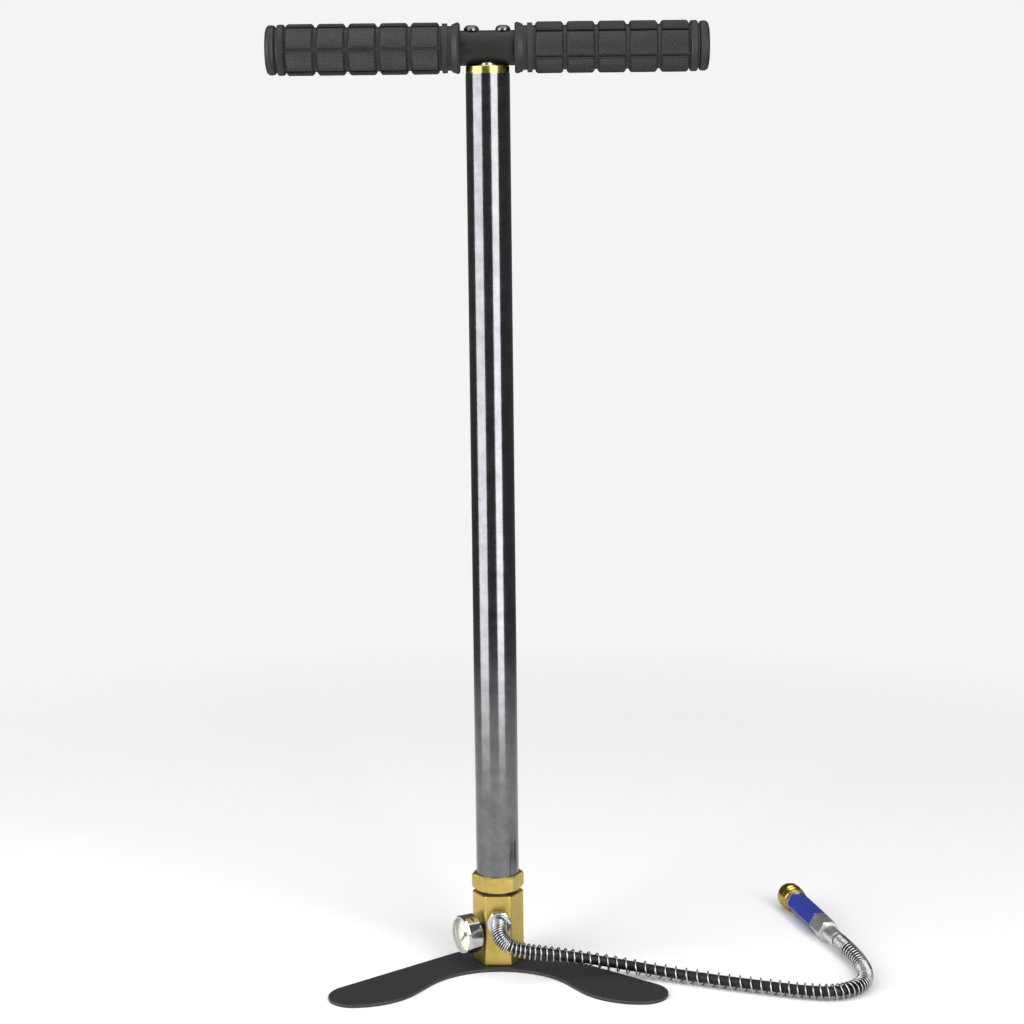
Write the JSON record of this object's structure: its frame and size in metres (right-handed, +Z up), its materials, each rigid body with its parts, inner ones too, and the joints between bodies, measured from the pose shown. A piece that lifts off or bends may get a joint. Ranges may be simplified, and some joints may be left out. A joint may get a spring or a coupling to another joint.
{
  "type": "hand air pump",
  "caption": "Upright hand-operated high-pressure air pump with T-handle, foot plate, dial gauge and coil-guarded hose ending in a quick coupler.",
  "frame": {"origin": "on the barrel's axis, at the underside of the foot plate", "axes": "+Z up along the barrel, -Y to the front where the hose leaves, +X to the right"},
  "size_m": [0.3806, 0.1817, 0.6133],
  "materials": {
    "black_powder_coat": "matte powder coat",
    "steel": "machined",
    "gold_anodised": "satin",
    "brass": "machined",
    "brass_collar": "polished",
    "spring_steel": "bright wire",
    "seal_rubber": "matte",
    "polished_tube": "polished",
    "chrome": "polished",
    "felt": "felt",
    "ptfe": "smooth",
    "black_bar": "satin",
    "black_screw": "black oxide",
    "grip_rubber": "knurled matte",
    "hose_rubber": "glossy",
    "lens": "clear",
    "dial_cream": "printed",
    "pointer_black": "satin",
    "blue_anodised": "gloss"
  },
  "bodies": {
    "base": {"foot_plate": "black_powder_coat", "foot_screws": "steel", "valve_block": "gold_anodised", "valve_seat": "brass", "check_spring": "spring_steel", "base_seal": "seal_rubber", "base_plug": "gold_anodised", "plug_o_ring": "seal_rubber", "outer_tube": "polished_tube", "guide_cap": "gold_anodised", "guide_wiper": "felt", "inner_tube": "steel", "inner_tube_head": "brass", "head_o_ring": "seal_rubber", "gauge_stem": "brass", "gauge_seal": "seal_rubber", "gauge_case": "chrome", "gauge_bezel": "chrome", "gauge_lens": "lens", "gauge_dial": "dial_cream", "gauge_movement": "brass", "bourdon_tube": "brass", "bleed_o_ring": "seal_rubber", "union_washer": "steel", "hose_union": "chrome", "hose": "hose_rubber", "hose_guard": "spring_steel", "hose_ferrule": "chrome", "coupler_body": "steel", "coupler_balls": "steel", "coupler_washer": "seal_rubber", "coupler_sleeve": "blue_anodised", "collar_spring": "spring_steel"},
    "piston_rings": {"piston_o_ring": "seal_rubber", "piston_wear_ring": "ptfe"},
    "handle": {"piston": "brass", "piston_rod_seal": "seal_rubber", "middle_tube": "chrome", "plunger": "chrome", "plunger_tip": "brass", "plunger_seal": "seal_rubber", "handle_stem": "steel", "crossbar": "black_bar", "handle_socket": "steel", "handle_screw_left": "black_screw", "handle_screw_right": "black_screw", "left_grip": "grip_rubber", "right_grip": "grip_rubber"},
    "check_ball": {"check_ball": "steel"},
    "gauge_pointer": {"gauge_pointer": "pointer_black"},
    "bleed_screw": {"bleed_screw": "steel"},
    "coupler_collar": {"coupler_collar": "brass_collar"}
  },
  "joints": [
    {"name": "pump_stroke", "type": "slide", "parent": "base", "child": "piston_rings", "axis": [0, 0, 1], "range_m": [0, 0.46]},
    {"name": "handle_swivel", "type": "hinge", "parent": "piston_rings", "child": "handle", "pos_m": [0, 0, 0.5973], "axis": [0, 0, 1], "continuous": true},
    {"name": "check_ball_lift", "type": "slide", "parent": "base", "child": "check_ball", "axis": [0, 0, -1], "range_m": [0, 0.0012], "stiffness_N_per_m": 60, "springref_m": -0.0005, "deforming": ["check_spring"]},
    {"name": "pointer_turn", "type": "hinge", "parent": "base", "child": "gauge_pointer", "pos_m": [-0.02165, -0.0125, 0.023], "axis": [0.866, 0.5, 0], "range_deg": [0, 270], "stiffness_Nm_per_rad": 0.002, "springref_deg": -11.46},
    {"name": "bleed_turn", "type": "hinge", "parent": "base", "child": "bleed_screw", "pos_m": [0, 0, 0.025], "axis": [0, 1, 0], "range_deg": [0, 360]},
    {"name": "collar_slide", "type": "slide", "parent": "base", "child": "coupler_collar", "axis": [0.2453, -0.9693, -0.0175], "range_m": [0, 0.0028], "stiffness_N_per_m": 3000, "springref_m": -0.002, "deforming": ["collar_spring"]}
  ]
}
